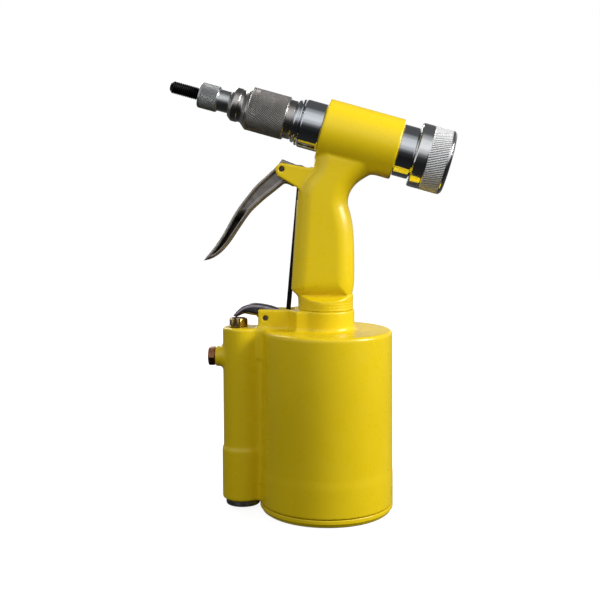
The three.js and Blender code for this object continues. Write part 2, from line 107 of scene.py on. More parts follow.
def skin(name, field, xs, ys, zs):
    """The surface where the field is nought, as one closed mesh: a vertex in each grid cell that the
    surface crosses, drawn onto the surface along the field's slope."""
    inside = field(np.meshgrid(xs, ys, zs, indexing="ij")) < 0
    nx, ny, nz = (size - 1 for size in inside.shape)
    count = sum(inside[i:i + nx, j:j + ny, k:k + nz].astype(int)
                for i in (0, 1) for j in (0, 1) for k in (0, 1))
    crossed = (count > 0) & (count < 8)
    number = np.full(crossed.shape, -1)
    number[crossed] = np.arange(crossed.sum())
    cells = np.argwhere(crossed)
    lines = (xs, ys, zs)
    p = np.stack([(lines[i][cells[:, i]] + lines[i][cells[:, i] + 1]) / 2 for i in range(3)])
    reach = np.stack([lines[i][cells[:, i] + 1] - lines[i][cells[:, i]] for i in range(3)])
    home = p.copy()
    for _ in range(6):
        value, slope = field(p), np.empty_like(p)
        for i in range(3):
            step = np.zeros((3, 1))
            step[i] = 0.02
            slope[i] = (field(p + step) - field(p - step)) / 0.04
        p = p - value * slope / np.maximum((slope ** 2).sum(0), 0.05)
        p = np.clip(p, home - 0.75 * reach, home + 0.75 * reach)

    faces = []
    for axis in range(3):
        b, c = (axis + 1) % 3, (axis + 2) % 3
        first = np.take(inside, range(inside.shape[axis] - 1), axis)
        second = np.take(inside, range(1, inside.shape[axis]), axis)
        for leaving in (True, False):
            edges = np.argwhere((first & ~second) if leaving else (~first & second))
            corners = []
            for db, dc in ((-1, -1), (0, -1), (0, 0), (-1, 0)):
                cell = edges.copy()
                cell[:, b] += db
                cell[:, c] += dc
                corners.append(number[cell[:, 0], cell[:, 1], cell[:, 2]])
            quads = np.stack(corners if leaving else corners[::-1], 1)
            faces.append(quads)
    faces = np.concatenate(faces)
    mesh = bpy.data.meshes.new(name)
    mesh.from_pydata((p.T * MM).tolist(), [], faces.tolist())
    mesh.update()
    mesh.shade_smooth()
    piece = bpy.data.objects.new(name, mesh)
    bpy.context.scene.collection.objects.link(piece)
    return piece


def shader(name, color, metallic, roughness, **sockets):
    """A material with its Principled shader and Object coordinates ready for a pattern."""
    material = bpy.data.materials.new(name)
    material.use_nodes = True
    tree = material.node_tree
    principled = tree.nodes["Principled BSDF"]
    principled.inputs["Base Color"].default_value = (*color, 1)
    principled.inputs["Metallic"].default_value = metallic
    principled.inputs["Roughness"].default_value = roughness
    for socket, value in sockets.items():
        principled.inputs[socket.replace("_", " ")].default_value = value
    coordinates = tree.nodes.new("ShaderNodeTexCoord")
    return material, tree, principled, coordinates.outputs["Object"]


def grain(tree, coordinates, scale, detail=3, stretch=(1, 1, 1), turn=(0, 0, 0)):
    """Noise over the piece, drawn out along one direction where stretch says so."""
    mapping = tree.nodes.new("ShaderNodeMapping")
    mapping.inputs["Scale"].default_value = stretch
    mapping.inputs["Rotation"].default_value = turn
    noise = tree.nodes.new("ShaderNodeTexNoise")
    noise.inputs["Scale"].default_value = scale
    noise.inputs["Detail"].default_value = detail
    tree.links.new(coordinates, mapping.inputs["Vector"])
    tree.links.new(mapping.outputs["Vector"], noise.inputs["Vector"])
    return noise.outputs["Fac"]


def spread(tree, value, low, high, start=0.3, end=0.7):
    """A pattern's value carried to a range of the maker's choice."""
    ranged = tree.nodes.new("ShaderNodeMapRange")
    for socket, number in (("From Min", start), ("From Max", end), ("To Min", low), ("To Max", high)):
        ranged.inputs[socket].default_value = number
    tree.links.new(value, ranged.inputs["Value"])
    return ranged.outputs["Result"]


def emboss(tree, principled, height, distance, strength):
    """Fine relief, laid over any that is already there."""
    bump = tree.nodes.new("ShaderNodeBump")
    bump.inputs["Distance"].default_value = distance
    bump.inputs["Strength"].default_value = strength
    tree.links.new(height, bump.inputs["Height"])
    previous = principled.inputs["Normal"]
    if previous.is_linked:
        tree.links.new(previous.links[0].from_socket, bump.inputs["Normal"])
    tree.links.new(bump.outputs["Normal"], principled.inputs["Normal"])


def tint(tree, principled, value, dark, light):
    """Base colour drifting between two shades."""
    mix = tree.nodes.new("ShaderNodeMix")
    mix.data_type = "RGBA"
    mix.inputs[6].default_value = (*dark, 1)
    mix.inputs[7].default_value = (*light, 1)
    tree.links.new(value, mix.inputs[0])
    tree.links.new(mix.outputs[2], principled.inputs["Base Color"])


def enamel_coat():
    """Gloss yellow, with slow drifts of tone and the faint orange peel of a sprayed coat."""
    material, tree, principled, where = shader(
        "yellow_enamel", (0.80, 0.56, 0.012), 0, 0.30, Coat_Weight=0.12, Coat_Roughness=0.10, IOR=1.45)
    drift = grain(tree, where, 22, 3)
    tint(tree, principled, spread(tree, drift, 0, 1), (0.77, 0.550, 0.006), (0.81, 0.585, 0.008))
    tree.links.new(spread(tree, grain(tree, where, 90, 4), 0.24, 0.36), principled.inputs["Roughness"])
    emboss(tree, principled, grain(tree, where, 1100, 2), 0.00008, 0.10)
    emboss(tree, principled, grain(tree, where, 130, 2), 0.0004, 0.04)
    return material


def finish_piece(piece, material, body, slot, *nodes):
    """Gives a piece its material and the body it moves with, and hides the CAD nodes it stands for."""
    piece.data.materials.clear()
    piece.data.materials.append(material)
    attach(piece, body)
    if nodes:
        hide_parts(*nodes)
    return piece


body_low, body_high = node_mm("cylinder_body")
COLLAR_TOP = body_high[2]
FOOT_R = body_high[0]
INLET_FACE_X = body_low[0]
CYLINDER_TOP = COLLAR_TOP - 13
SHOULDER_R = FOOT_R - 1.6              # the casting tapers upward for its mould
SEAM_Z = 5.9                           # underside of the casting, above the cover's seam
STEP_Z = 27                            # below this the cylinder was turned less
BORE_R = 37.3
CEILING_Z = 108.6
COLLAR_X, COLLAR_R = -0.9, 18.3
HOUSING_X, HOUSING_R, HOUSING_FOOT_R = -54.3, 12.3, 13.2
HOUSING_FOOT_Z, HOUSING_TOP = 6.3, CYLINDER_TOP + 1
VALVE_X = -56.6
INLET_Z = 99
# Half of the bracket seen from above: two flat cheeks for the rocker, flaring out to the collar.
BRACKET_PLAN = [(-43.2, -9), (-43.2, 8), (-24.8, 8), (-23.6, 8.6), (-18.7, 15.3), (-8, 15.3), (-8, -9)]


def cylinder_casting(p):
    """Cylinder, valve housing, inlet boss, collar and bracket, less the bores."""
    x, y, z = p
    across = np.hypot(x, y)
    taper = np.clip((z - SEAM_Z) / (CYLINDER_TOP - SEAM_Z), 0, 1)
    step = np.clip((STEP_Z + 2.5 - z) / 5, 0, 1)
    radius = SHOULDER_R + (FOOT_R - 0.3 - SHOULDER_R) * (1 - taper) + 0.28 * step
    main = blend_in(across - radius, z - CYLINDER_TOP, 2.6)

    foot = np.clip((42 - z) / 3.5, 0, 1)
    foot = foot * foot * (3 - 2 * foot)
    housing_across = np.hypot(x - HOUSING_X, y)
    housing_r = HOUSING_R + (HOUSING_FOOT_R - HOUSING_R) * foot
    housing = blend_in(housing_across - housing_r, z - HOUSING_TOP, 1.6)
    housing = blend_in(housing, HOUSING_FOOT_Z - z, 2)
    web = box_field(p, (-46, 0, 62), (9, 8.2, 55.2), 1.5)
    shell = blend_out(blend_out(housing, web, 2.5), main, 2.6)

    boss = tube_field(np.hypot(y, z - INLET_Z), -x, 6.5, 50, -INLET_FACE_X, 0.9)
    shell = blend_out(shell, boss, 3)

    collar = tube_field(np.hypot(x - COLLAR_X, y), z, COLLAR_R, 100, COLLAR_TOP, 1.2)
    plan = blend_in(outline_field(x, np.abs(y), BRACKET_PLAN), z - COLLAR_TOP, 1.2)
    top = blend_out(collar, np.maximum(plan, 100 - z), 0.8)
    shell = blend_out(shell, top, 3.2)

    shell = blend_in(shell, SEAM_Z - z, 0.5)
    shell = blend_in(shell, -np.maximum(across - BORE_R, z - CEILING_Z), 0.8)
    shell = blend_in(shell, -np.maximum(across - 15.3, 100 - z), 0.8)
    slot = box_field(p, (-33.3, 0, 125.2), (12.7, 4.2, 7), 0.4)
    shell = blend_in(shell, -slot, 0.7)
    pin = np.hypot(x + 38.6, z - 124.7) - 1.75
    shell = blend_in(shell, -np.maximum(pin, -10 - np.abs(y)), 0.4)
    valve = np.maximum(np.hypot(x - VALVE_X, y) - 6.8, np.maximum(z - 108, 8 - z))
    thread = np.maximum(np.hypot(x - VALVE_X, y) - 5.1, 100 - z)
    plug = np.maximum(housing_across - 8.9, z - 9.3)
    inlet = np.maximum(np.hypot(y, z - INLET_Z) - 4.9, x - VALVE_X)
    for hole in (valve, thread, plug, inlet):
        shell = blend_in(shell, -hole, 0.5)
    return shell


casting = skin(
    "cylinder_casting", cylinder_casting,
    stations((body_low[0] - 1.3, body_high[0] + 1.3, 0.8)),
    stations((body_low[1] - 1.3, body_high[1] + 1.3, 0.8)),
    stations((SEAM_Z - 1.2, 12, 0.7), (12, 22.5, 3), (22.5, 31.5, 0.9), (31.5, 37.5, 2),
             (37.5, 43, 1.1), (43, 90, 4.7), (90, COLLAR_TOP + 1.4, 0.7)),
)
enamel = enamel_coat()
finish_piece(casting, enamel, "frame", "yellow_paint", "cylinder_body")


# ---- Grip and head casting -----------------------------------------------------------------------------
# The second casting: a slim grip with flat sides, two ears for the trigger, a groove for the pull rod and
# the tilted barrel. Its turned neck screws into the collar. Same alloy and enamel as the cylinder.

joint = {j["name"]: j for j in frame["joints"]}
NOSE = np.array(joint["nose_sleeve_turn"]["axis"])
REAR = -NOSE
on_axis = np.array(joint["nose_sleeve_turn"]["pos_m"]) / MM
BARREL_Z = on_axis[2] - on_axis[0] * REAR[2] / REAR[0]
grip_low, grip_high = node_mm("grip_and_head")
BARREL_R = grip_high[1]
BARREL_FRONT, BARREL_REAR = -2.8, 45.2
BARREL_BORE_R = 14.2
GRIP_HALF, GRIP_FACET = 13.5, 6.5
NECK_R = 17.5
EAR_HALF, EAR_GAP = 9.8, 5.6
PIVOT = np.array(joint["trigger_squeeze"]["pos_m"]) / MM
EAR_OUTLINE = [
    (-28.6, 221.9), (-31.4, 219.9), (-31.9, 216.8), (-30.7, 213.9), (-18.6, 206.6), (-15.6, 203.4),
    (-6, 203.4), (-6, 219), (-12, 218.9),
]
ROD_GROOVE = [(-40, 134), (-21.6, 134), (-14.2, 212), (-40, 212)]
TRIGGER_SLOT = [(-40, 230), (-40, 199), (-15.6, 199), (-12.2, 211), (-12.2, 230)]


def faired(points, steps=4):
    """A smooth path through the points, with that many steps between each two."""
    path = np.array([points[0], *points, points[-1]], float)
    t = (np.arange(steps) / steps)[:, None]
    spans = [
        (2 * b + (c - a) * t + (2 * a - 5 * b + 4 * c - d) * t ** 2 + (3 * b - a - 3 * c + d) * t ** 3) / 2
        for a, b, c, d in zip(path, path[1:], path[2:], path[3:])
    ]
    return [tuple(q) for q in np.concatenate(spans)] + [tuple(points[-1])]


GRIP_OUTLINE = [
    (-17, 137.3), (-22.2, 142.1), (-22.6, 143), (-20.6, 173), (-18.6, 204),
    *faired([(-18, 207), (-15.4, 212.4), (-9.9, 219), (-7.8, 225), (-6.5, 236)]), (34, 228),
    *faired([(34, 214.4), (30, 215), (25.6, 213.9), (18.2, 209), (14, 203.2), (12.8, 197), (14.3, 191),
             (16, 182.6), (16.8, 171), (17.1, 158), (17, 146), (15.7, 139.4)]), (14.5, 137.3),
]


def grip_casting(p):
    """Barrel, grip, neck and ears, less the slots and bores."""
    x, y, z = p
    s = x * REAR[0] + (z - BARREL_Z) * REAR[2]
    r = np.hypot(y, -x * REAR[2] + (z - BARREL_Z) * REAR[0])
    barrel = tube_field(r, s, BARREL_R, BARREL_FRONT, BARREL_REAR, 1.0)

    edge, side = outline_field(x, z, GRIP_OUTLINE), np.abs(y) - GRIP_HALF
    grip = blend_in(blend_in(edge, side, 2), (edge + side + GRIP_FACET) / 1.414, 3)
    head = blend_out(barrel, grip, 1.2)

    across = np.hypot(x - COLLAR_X, y)
    rings = 0.1 * np.cos(2 * math.pi * np.clip(z - 131, 0, 5.1) / 1.7)
    neck = tube_field(across, z, NECK_R - 0.1 + rings, COLLAR_TOP + 0.06, 139, 0.4)
    neck = blend_in(neck, (np.abs(y) - 13.3 - (137.8 - z) * 2.4) / 2.6, 0.8)
    spigot = tube_field(np.hypot(x, y), z, 15, 113, 134, 0.8)
    head = blend_out(head, neck, 1.6)
    head = np.minimum(head, spigot)

    ears = blend_in(outline_field(x, z, EAR_OUTLINE), np.abs(y) - EAR_HALF, 1.2)
    head = blend_out(head, ears, 1.0)
    slot = np.maximum(outline_field(x, z, TRIGGER_SLOT), np.abs(y) - EAR_GAP)
    groove = blend_in(outline_field(x, z, ROD_GROOVE), np.abs(y) - 2.4, 0.8)
    pin = np.hypot(x - PIVOT[0], z - PIVOT[2]) - 1.75
    bore = np.maximum(r - BARREL_BORE_R, np.abs(s - 21) - 40)
    tube = np.maximum(np.hypot(x, y) - 8.3, z - 206)
    gland = np.maximum(np.hypot(x, y) - 10.6, z - 118.1)
    channel = np.maximum(np.hypot(x, y) - 3.6, z - BARREL_Z)
    fill = np.hypot(s - 6.5, -x * REAR[2] + (z - BARREL_Z) * REAR[0])
    fill = np.minimum(np.maximum(fill - 2.7, -y), np.maximum(fill - 5.4, 17.8 - y))
    for hole, rounding in ((slot, 0.8), (groove, 0.8), (pin, 0.4), (bore, 0.6), (tube, 0.4), (gland, 0.4),
                           (channel, 0.4), (fill, 0.5)):
        head = blend_in(head, -hole, rounding)
    return head


handle = skin(
    "grip_casting", grip_casting,
    stations((grip_low[0] - 1.2, grip_high[0] + 1.2, 0.66)),
    stations((grip_low[1] - 1.2, grip_high[1] + 1.2, 0.64)),
    stations((grip_low[2] - 1.2, 146, 0.6), (146, 196, 2.0), (196, grip_high[2] + 1.2, 0.65)),
)
finish_piece(handle, enamel, "frame", "yellow_paint", "grip_and_head")


# ---- Front head, lock ring, rear spacer ----------------------------------------------------------------
# Turned steel with a mirror chrome plate. The front head screws into the barrel and carries the nose, the
# lock ring jams the nose sleeve on its thread, and the spacer closes the rear and holds the cap's thread.

BARREL = Matrix((
    (REAR[2], 0, REAR[0], 0),
    (0, 1, 0, 0),
    (-REAR[0], 0, REAR[2], BARREL_Z * MM),
    (0, 0, 0, 1),
))


LONG_RUN, RING_INSET = 0.6, 0.1        # a run longer than this gets a ring that far inside each end


def rows(start, end, count):
    """Evenly spaced profile points from start up to, but not including, end."""
    return [tuple(np.array(start) + (np.array(end) - np.array(start)) * i / count) for i in range(count)]


def turned(name, profile, place=Matrix.Identity(4), columns=96, crisp=32):
    """A closed body of revolution about local Z from (radius, height) pairs in millimetres, then placed. A
    third number clips that ring to a hexagon of that size across its flats."""
    steps = []
    for (r0, h0, *flats), (r1, h1, *_) in zip(profile, profile[1:] + profile[:1]):
        length = math.hypot(r1 - r0, h1 - h0)
        steps.append((r0, h0, *flats))
        if length > LONG_RUN and not flats and r0 and r1:
            for share in (RING_INSET / length, 1 - RING_INSET / length):
                steps.append((r0 + (r1 - r0) * share, h0 + (h1 - h0) * share))
    mesh = bmesh.new()
    rings = []
    for radius, height, *flats in steps:
        if radius == 0:
            rings.append([mesh.verts.new((0, 0, height * MM))] * columns)
            continue
        row = []
        for i in range(columns):
            angle = 2 * math.pi * i / columns
            reach = radius
            if flats:
                reach = min(radius, flats[0] / 2 / math.cos((angle + 1e-9) % (math.pi / 3) - math.pi / 6))
            around = reach * MM * math.cos(angle), reach * MM * math.sin(angle)
            row.append(mesh.verts.new((*around, height * MM)))
        rings.append(row)
    rings.append(rings[0])
    for lower, upper in zip(rings, rings[1:]):
        for i in range(columns):
            j = (i + 1) % columns
            corners = list(dict.fromkeys((lower[i], lower[j], upper[j], upper[i])))
            if len(corners) > 2:
                mesh.faces.new(corners)
    bmesh.ops.recalc_face_normals(mesh, faces=mesh.faces)
    data = bpy.data.meshes.new(name)
    mesh.to_mesh(data)
    mesh.free()
    data.transform(place)
    data.shade_smooth()
    data.set_sharp_from_angle(angle=math.radians(crisp))
    piece = bpy.data.objects.new(name, data)
    bpy.context.scene.collection.objects.link(piece)
    return piece


def chrome_plate():
    """Mirror chrome with faint smudges."""
    material, tree, principled, where = shader("mirror_chrome", (0.74, 0.76, 0.79), 1, 0.07)
    smudge = grain(tree, where, 55, 4)
    tree.links.new(spread(tree, smudge, 0.045, 0.12), principled.inputs["Roughness"])
    return material


chrome = chrome_plate()

front_head = turned("chrome_front_head", [
    (7.5, -34), (9.8, -34), (10.3, -33.5), (10.3, -16.4), (14.2, -16.4), (14.75, -16.1), (15, -15.5),
    (15, -4.3), (14.9, -3.6), (14.6, -3.15), (13.9, -3.1), (13.9, 1.2), (7.5, 1.2), (7.5, -9), (9.2, -9),
    (9.2, -12), (7.5, -12),
], BARREL)
lock_ring = turned("chrome_lock_ring", [
    (10.6, -21.3), (12.2, -21.3), (13.0, -20.9), (13.3, -20.2), (13.35, -19.4), (12.55, -19.2),
    (12.5, -18.6), (13.8, -18.4), (14.4, -18.1), (14.5, -17.6), (14.4, -17.1), (14, -16.85), (10.6, -16.8),
], BARREL)
rear_spacer = turned("chrome_rear_spacer", [
    (5.6, 37.8), (13.8, 37.8), (13.8, 45.5), (15.8, 45.5), (16.15, 45.8), (16.15, 54.8), (15.9, 55.3),
    (15.3, 55.6), (13.9, 55.6), (13.9, 56),
    *[(13.9 if i % 2 else 13.2, 56.5 + 0.75 * i) for i in range(15)], (13.2, 68), (5.6, 68),
], BARREL)
finish_piece(front_head, chrome, "frame", "chrome", "front_head")
finish_piece(lock_ring, chrome, "lock_ring", "chrome", "lock_ring")
finish_piece(rear_spacer, chrome, "frame", "chrome", "rear_spacer")


# ---- Knurled nose sleeve, anvil and rear cap, and the threaded mandrel ---------------------------------
# Turned blanks into which knurls and a thread are rolled. The sleeve is dark nickel plated, the anvil
# zinc plated, the rear cap bright nickel plated, and the M8 mandrel is blackened high-tensile steel.

def rolling_tree():
    """Presses helical grooves into the band of a blank that lies along Z. Crossed grooves leave diamonds.
    The attributes rolled and groove say how far a point is in the band and in a groove."""
    tree = bpy.data.node_groups.new("rolled_grooves", "GeometryNodeTree")
    side = tree.interface
    side.new_socket("Geometry", in_out="INPUT", socket_type="NodeSocketGeometry")
    for name in (
        "Band Start", "Band End", "Fade", "Inner Radius", "Starts", "Lead", "Depth", "Land", "Crossed",
    ):
        side.new_socket(name, in_out="INPUT", socket_type="NodeSocketFloat")
    side.new_socket("Material", in_out="INPUT", socket_type="NodeSocketMaterial")
    side.new_socket("Geometry", in_out="OUTPUT", socket_type="NodeSocketGeometry")
    nodes, links = tree.nodes, tree.links
    given = nodes.new("NodeGroupInput").outputs
    position = nodes.new("GeometryNodeInputPosition").outputs["Position"]
    apart = nodes.new("ShaderNodeSeparateXYZ")
    links.new(position, apart.inputs[0])
    x, y, z = apart.outputs

    def math_node(operation, *values):
        node = nodes.new("ShaderNodeMath")
        node.operation = operation
        for socket, value in zip(node.inputs, values):
            if isinstance(value, (int, float)):
                socket.default_value = value
            else:
                links.new(value, socket)
        return node.outputs[0]

    def crest(phase):
        twice = math_node("MULTIPLY", math_node("FRACT", phase), 2)
        saw = math_node("ABSOLUTE", math_node("SUBTRACT", twice, 1))
        return math_node("MINIMUM", math_node("DIVIDE", saw, math_node("SUBTRACT", 1, given["Land"])), 1)

    def ramp(distance):
        return math_node("MINIMUM", math_node("MAXIMUM", math_node("DIVIDE", distance, given["Fade"]), 0), 1)

    across = math_node("ADD", math_node("MULTIPLY", x, x), math_node("MULTIPLY", y, y))
    radius = math_node("SQRT", across)
    turn = math_node("DIVIDE", math_node("ARCTAN2", y, x), 2 * math.pi)
    round_phase = math_node("MULTIPLY", turn, given["Starts"])
    axial_phase = math_node("MULTIPLY", math_node("DIVIDE", z, given["Lead"]), given["Starts"])
    right = crest(math_node("ADD", round_phase, axial_phase))
    left = crest(math_node("SUBTRACT", round_phase, axial_phase))
    left = math_node("MAXIMUM", left, math_node("SUBTRACT", 1, given["Crossed"]))
    height = math_node("MINIMUM", right, left)
    band = math_node("MINIMUM", ramp(math_node("SUBTRACT", z, given["Band Start"])),
                     ramp(math_node("SUBTRACT", given["Band End"], z)))
    rolled = math_node("MULTIPLY", band, math_node("GREATER_THAN", radius, given["Inner Radius"]))
    groove = math_node("MULTIPLY", math_node("SUBTRACT", 1, height), rolled)
    pressed = math_node("SUBTRACT", radius, math_node("MULTIPLY", given["Depth"], groove))
    shrink = math_node("DIVIDE", pressed, math_node("MAXIMUM", radius, 1e-6))
    together = nodes.new("ShaderNodeCombineXYZ")
    links.new(math_node("MULTIPLY", x, shrink), together.inputs["X"])
    links.new(math_node("MULTIPLY", y, shrink), together.inputs["Y"])
    links.new(z, together.inputs["Z"])
    moved = nodes.new("GeometryNodeSetPosition")
    links.new(given["Geometry"], moved.inputs["Geometry"])
    links.new(together.outputs[0], moved.inputs["Position"])
    shape = moved.outputs[0]
    for name, value in (("groove", groove), ("rolled", rolled)):
        stored = nodes.new("GeometryNodeStoreNamedAttribute")
        stored.data_type = "FLOAT"
        stored.inputs["Name"].default_value = name
        links.new(shape, stored.inputs["Geometry"])
        links.new(value, stored.inputs["Value"])
        shape = stored.outputs[0]
    realized = nodes.new("GeometryNodeRealizeInstances")
    links.new(shape, realized.inputs[0])
    coloured = nodes.new("GeometryNodeSetMaterial")
    links.new(realized.outputs[0], coloured.inputs["Geometry"])
    links.new(given["Material"], coloured.inputs["Material"])
    links.new(coloured.outputs[0], nodes.new("NodeGroupOutput").inputs[0])
    return tree


ROLLING = rolling_tree()


def roll(blank, material, **settings):
    """Runs a blank through the rolling tree and lays the result along the barrel's axis."""
    modifier = blank.modifiers.new("rolling", "NODES")
    modifier.node_group = ROLLING
    identifier = {s.name: s.identifier for s in ROLLING.interface.items_tree if s.in_out == "INPUT"}
    for name, value in settings.items():
        modifier[identifier[name.replace("_", " ")]] = value
    modifier[identifier["Material"]] = material
    evaluated = blank.evaluated_get(bpy.context.evaluated_depsgraph_get())
    rolled = bpy.data.meshes.new_from_object(evaluated)
    blank.modifiers.clear()
    rolled.transform(BARREL)
    rolled.set_sharp_from_angle(angle=math.radians(40))
    blank.data = rolled
    return blank


def rolled_steel(name, crest, groove, smooth, rough, metallic=1.0, stain=0.25):
    """Plated steel. Turned surfaces shine, the rolled band is duller, and its grooves are painted darker still:
    painted shade, with a little oil.
    """
    material, tree, principled, where = shader(name, crest, 1, smooth)
    depth, rolled = (tree.nodes.new("ShaderNodeAttribute") for _ in range(2))
    depth.attribute_name = "groove"
    rolled.attribute_name = "rolled"
    # Painted shade: the base colour goes to the dark groove colour down in the rolled grooves.
    tint(tree, principled, depth.outputs["Fac"], crest, groove)
    mix = principled.inputs["Base Color"].links[0].from_node
    stains = tree.nodes.new("ShaderNodeMix")
    stains.data_type = "RGBA"
    stains.inputs[6].default_value = (*crest, 1)
    stains.inputs[7].default_value = (*[c * (1 - stain) for c in crest], 1)
    tree.links.new(spread(tree, grain(tree, where, 160, 5), 0, 1), stains.inputs[0])
    tree.links.new(stains.outputs[2], mix.inputs[6])
    tree.links.new(spread(tree, rolled.outputs["Fac"], smooth, rough, 0, 1), principled.inputs["Roughness"])
    tree.links.new(spread(tree, rolled.outputs["Fac"], 1, metallic, 0, 1), principled.inputs["Metallic"])
    return material


# The second colour of each plate is the painted shade in its knurl or thread grooves.
dark_nickel = rolled_steel("dark_nickel_plate", (0.66, 0.62, 0.59), (0.05, 0.043, 0.038), 0.24, 0.40, 0.8)
zinc_plate = rolled_steel("zinc_plate", (0.74, 0.755, 0.75), (0.09, 0.09, 0.09), 0.30, 0.42, 0.75)
bright_nickel = rolled_steel(
    "bright_nickel_plate", (0.93, 0.92, 0.92), (0.06, 0.06, 0.06), 0.13, 0.42, 0.35, 0.06)
black_oxide = rolled_steel("black_oxide", (0.022, 0.022, 0.024), (0.004, 0.004, 0.004), 0.38, 0.42)

SLEEVE_STARTS, SLEEVE_LEAD = 74, 74 * 1.45
sleeve = turned("knurled_nose_sleeve", [
    (6.2, -63), (7.9, -63), (8.4, -62.8), (10.3, -60.6), (10.5, -60.1), (10.5, -57.1), (10.3, -56.7),
    (10.0, -56.4), (9.95, -54.8), (10.1, -54.3), (12.5, -51.6), (12.9, -51), (13.2, -50.7), (13.5, -50.3),
    *rows((13.5, -50.0), (13.5, -27.0), 96), (13.5, -27), (13.2, -26.6), (12.9, -26.4), (12.1, -26.2),
    (12.1, -22.1), (11.8, -21.7), (10.6, -21.7), (10.6, -36), (8.4, -36), (8.4, -56), (6.2, -56),
], columns=SLEEVE_STARTS * 6)
roll(sleeve, dark_nickel, Band_Start=-0.0503, Band_End=-0.0266, Fade=0.0005, Inner_Radius=0.0125,
     Starts=float(SLEEVE_STARTS), Lead=SLEEVE_LEAD * MM, Depth=0.00036, Land=0.22, Crossed=1.0)
finish_piece(sleeve, dark_nickel, "nose_sleeve", "dark_nickel", "nose_sleeve")

ANVIL_STARTS, ANVIL_LEAD = 48, 48 * 1.2
anvil = turned("knurled_anvil", [
    (4.35, -82.6), (4.7, -83), (6.9, -83), (7.5, -82.7), (7.9, -82.1),
    *rows((8, -81.6), (8, -71.4), 51), (8, -71.4), (7.7, -70.8), (7.2, -70.4), (6.7, -70.3),
    (6.65, -63.6), (6.4, -63.3), (5.9, -63.3), (5.9, -56.6), (4.35, -56.6),
], columns=ANVIL_STARTS * 6)
roll(anvil, zinc_plate, Band_Start=-0.0820, Band_End=-0.0710, Fade=0.0004, Inner_Radius=0.0074,
     Starts=float(ANVIL_STARTS), Lead=ANVIL_LEAD * MM, Depth=0.0003, Land=0.22, Crossed=1.0)
finish_piece(anvil, zinc_plate, "anvil", "zinc_steel", "anvil")

CAP_STARTS, CAP_LEAD = 80, 80 * 3.2
cap = turned("knurled_rear_cap", [
    (14.4, 56), (18.9, 56), (19.3, 56.1), (19.95, 56.8), (20.1, 57.2), (20.1, 63), (19.95, 63.3),
    (19.95, 63.7), *rows((20.1, 64), (20.1, 75.1), 44), (20.1, 75.1), (19.95, 75.4), (19.95, 75.7),
    (20.05, 76), (19.9, 76.6), (18.8, 77.7), (18.2, 77.95), (14.5, 78.1), (14.2, 77.8), (13.8, 77.8),
    (13.4, 78.2), (7, 78.55), (0, 78.6),
    (0, 74.5), (8.6, 74.5), (8.6, 69), (14.4, 69),
], columns=CAP_STARTS * 6)
roll(cap, bright_nickel, Band_Start=0.0638, Band_End=0.0753, Fade=0.0004, Inner_Radius=0.0196,
     Starts=float(CAP_STARTS), Lead=CAP_LEAD * MM, Depth=0.00045, Land=0.25, Crossed=0.0)
finish_piece(cap, bright_nickel, "rear_cap", "bright_nickel", "rear_cap")

PITCH = 1.25
mandrel = turned("threaded_mandrel", [
    (0, -101.8), (2.2, -101.8), (2.6, -101.6), (3.9, -100.3), *rows((3.9, -100.1), (3.9, -50), 400),
    (3.9, -50), (3.9, -44), (0, -44),
], columns=40)
roll(mandrel, black_oxide, Band_Start=-0.1017, Band_End=-0.0500, Fade=0.0003, Inner_Radius=0.0024,
     Starts=1.0, Lead=PITCH * MM, Depth=0.00062, Land=0.18, Crossed=0.0)
finish_piece(mandrel, black_oxide, "mandrel", "black_oxide", "mandrel")


# ---- Trigger, pull rod and rocker ----------------------------------------------------------------------
# The trigger is an unpainted steel casting with a recessed web, the rocker a smaller polished one. Both
# turn on plain pins, and a blackened rod between them passes the squeeze down to the valve.

ROD_TOP = (-16.8, 217)
ROD_BOTTOM = (-25.2, 123)
ROCKER_PIVOT = (-38.6, 124.7)
TRIGGER_OUTLINE = [
    *faired([(-28.2, 224.1), (-32.1, 219.5), (-39.4, 212.8), (-44.6, 208.1), (-49.8, 201.9), (-55, 195.2),
             (-60.3, 186.9), (-65.5, 177.6), (-70.8, 169.7), (-75.1, 164.5), (-78.0, 160.7)], 3),
    *faired([(-77.2, 160.7), (-72.4, 162.1), (-67.2, 165.8), (-61.9, 171.8), (-57.3, 178.6), (-53, 184.9),
             (-48.8, 190.6), (-44.7, 194.7), (-39.4, 199.4), (-34.2, 203.5), (-29.9, 206.9), (-27.4, 208.7),
             (-24.8, 208.7), (-21.2, 207.1)], 3),
    (-15.9, 213.6), (-14.4, 214.5), (-13.4, 216.2), (-13.4, 217.8), (-14.4, 219.5), (-16.2, 220.45),
    (-19.6, 220.7),
]


def trigger_casting(p):
    """Flat lever with a rim on both sides that stands proud of the web."""
    x, y, z = p
    edge = outline_field(x, z, TRIGGER_OUTLINE)
    lever = blend_in(edge, np.abs(y) - 5.2, 1.6)
    lower = np.clip((193 - z) / 8, 0, 1)
    web = 4.25 - 2.9 * lower * lower * (3 - 2 * lower)
    pocket = blend_in(edge + 1.9, web - np.abs(y), 0.8)
    lever = blend_in(lever, -pocket, 0.6)
    rod_slot = np.maximum(np.abs(y) - 1.9, -22.8 - x)
    pivot = np.hypot(x - PIVOT[0], z - PIVOT[2]) - 1.9
    rod_pin = np.hypot(x - ROD_TOP[0], z - ROD_TOP[1]) - 1.75
    for hole, rounding in ((rod_slot, 0.4), (pivot, 0.3), (rod_pin, 0.3)):
        lever = blend_in(lever, -hole, rounding)
    return lever


ROCKER_OUTLINE = [
    *faired([(-60.2, 125.2), (-56.6, 129.3), (-52.4, 132.2), (-45.9, 133.4), (-36.8, 132.2), (-29.5, 129.6),
             (-25.4, 126.2), (-22.3, 124.4), (-21.95, 122.6), (-23.0, 120.6), (-24.8, 119.75)], 4),
    (-34, 121.2), (-42, 121.8), (-45, 125.5), (-52.6, 126.6), (-55.6, 125.3), (-58, 124.1),
]


